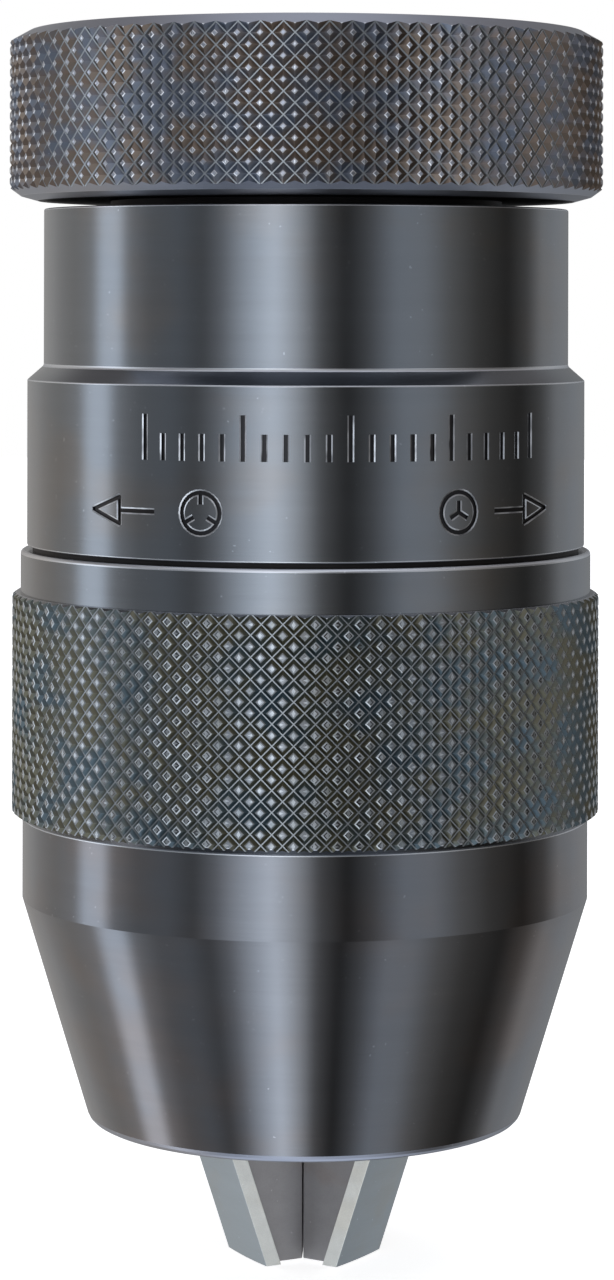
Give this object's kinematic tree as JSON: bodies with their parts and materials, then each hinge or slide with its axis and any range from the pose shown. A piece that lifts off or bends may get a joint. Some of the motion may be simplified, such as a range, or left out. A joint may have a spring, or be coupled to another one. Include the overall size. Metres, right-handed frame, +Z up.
{
  "type": "drill chuck",
  "caption": "Keyless drill chuck: a knurled hand ring fixed to the spindle body, and a sleeve whose turning feeds the jaws along an inner cone to grip a drill.",
  "frame": {"origin": "centre of the rear face, at the mouth of the spindle thread", "axes": "+Z up the spindle, away from the jaws; +X to the right and -Y towards the viewer of the front"},
  "size_m": [0.05, 0.05, 0.1027],
  "materials": {
    "dark_steel": "hardened, ground and blued dark, satin",
    "machined_steel": "turned, lightly oiled",
    "bearing_steel": "polished",
    "ground_steel": "hardened and ground",
    "bronze": "sintered bronze, satin",
    "felt": "oiled felt"
  },
  "bodies": {
    "root": {"chuck_body": "machined_steel", "rear_grip_ring": "dark_steel", "lower_race": "bearing_steel"},
    "sleeve": {"rear_sleeve": "dark_steel", "rear_bush": "bronze", "dust_seal": "felt", "upper_race": "bearing_steel", "friction_washer": "bronze", "grip_sleeve": "dark_steel", "front_bush": "bronze", "cone_hood": "dark_steel", "jaw_guide": "machined_steel", "guide_key_pins": "ground_steel", "guide_retaining_ring": "ground_steel"},
    "ball_cage": {"ball_cage": "bronze", "bearing_balls": "bearing_steel"},
    "feed_screw": {"feed_screw": "machined_steel", "jaw_carrier": "machined_steel"},
    "jaw_1": {"jaw_1": "ground_steel"},
    "jaw_2": {"jaw_2": "ground_steel"},
    "jaw_3": {"jaw_3": "ground_steel"}
  },
  "joints": [
    {"name": "sleeve_turn", "type": "hinge", "parent": "root", "child": "sleeve", "pos_m": [0, 0, -0.0433], "axis": [0, 0, 1], "range_deg": [-2232, 0]},
    {"name": "cage_roll", "type": "hinge", "parent": "root", "child": "ball_cage", "pos_m": [0, 0, -0.0233], "axis": [0, 0, 1], "range_deg": [-1116, 0]},
    {"name": "screw_travel", "type": "slide", "parent": "sleeve", "child": "feed_screw", "axis": [0, 0, 1], "range_m": [0, 0.0186]},
    {"name": "jaw_1_slide", "type": "slide", "parent": "sleeve", "child": "jaw_1", "axis": [-0.2848, -0.1644, 0.9444], "range_m": [0, 0.0197]},
    {"name": "jaw_2_slide", "type": "slide", "parent": "sleeve", "child": "jaw_2", "axis": [0.2848, -0.1644, 0.9444], "range_m": [0, 0.0197]},
    {"name": "jaw_3_slide", "type": "slide", "parent": "sleeve", "child": "jaw_3", "axis": [0, 0.3289, 0.9444], "range_m": [0, 0.0197]}
  ],
  "couplings": [
    {"joint": "cage_roll", "follows": "sleeve_turn", "ratio": 0.5},
    {"joint": "screw_travel", "follows": "sleeve_turn", "m_per_rad": -0.00047746},
    {"joint": "jaw_1_slide", "follows": "sleeve_turn", "m_per_rad": -0.00050559},
    {"joint": "jaw_2_slide", "follows": "sleeve_turn", "m_per_rad": -0.00050559},
    {"joint": "jaw_3_slide", "follows": "sleeve_turn", "m_per_rad": -0.00050559}
  ]
}
